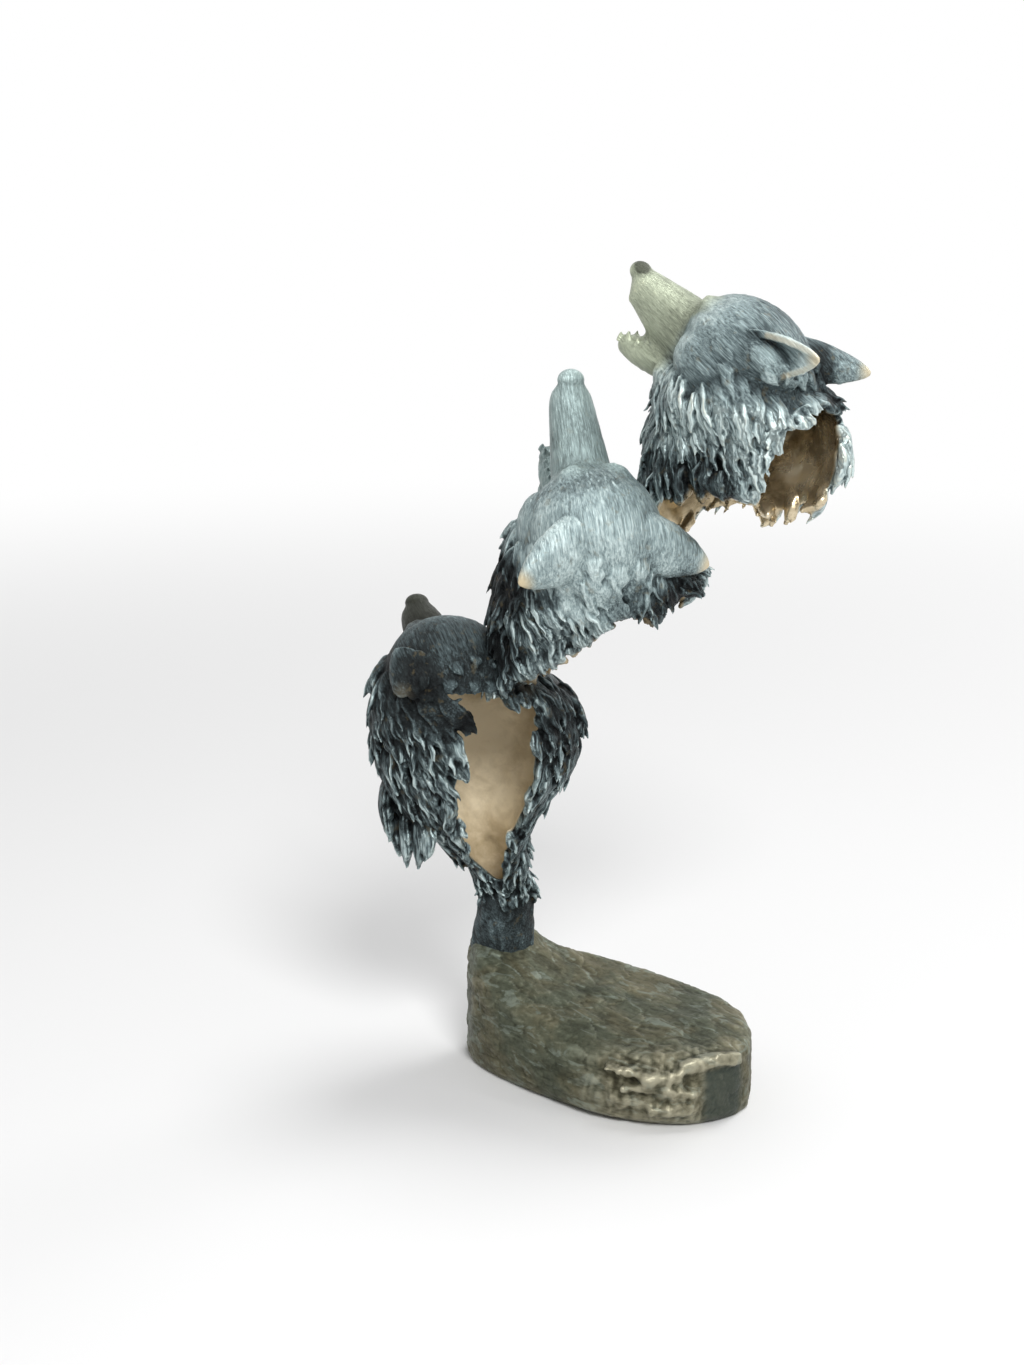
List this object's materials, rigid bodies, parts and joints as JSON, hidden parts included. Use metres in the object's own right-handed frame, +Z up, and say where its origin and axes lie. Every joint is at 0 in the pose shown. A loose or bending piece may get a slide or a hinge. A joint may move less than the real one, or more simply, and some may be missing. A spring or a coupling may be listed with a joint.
{
  "type": "bronze sculpture of howling wolves",
  "caption": "Cast bronze sculpture of howling wolf busts, hollow and open behind, rising in an arc from a narrow stem on an oblong rock.",
  "frame": {"origin": "on the rock's flat underside, below the middle of the arc", "axes": "+Z up, -Y towards the open backs of the lower and middle wolves, +X towards the end that the upper wolf leans over"},
  "size_m": [0.257, 0.129, 0.4413],
  "materials": {
    "patinated_bronze": "cast bronze, dark blue-grey patina on the fur, worn gold on high edges and inside, green-brown on the rock"
  },
  "bodies": {
    "root": {"howling_wolves": "patinated_bronze"}
  },
  "joints": []
}
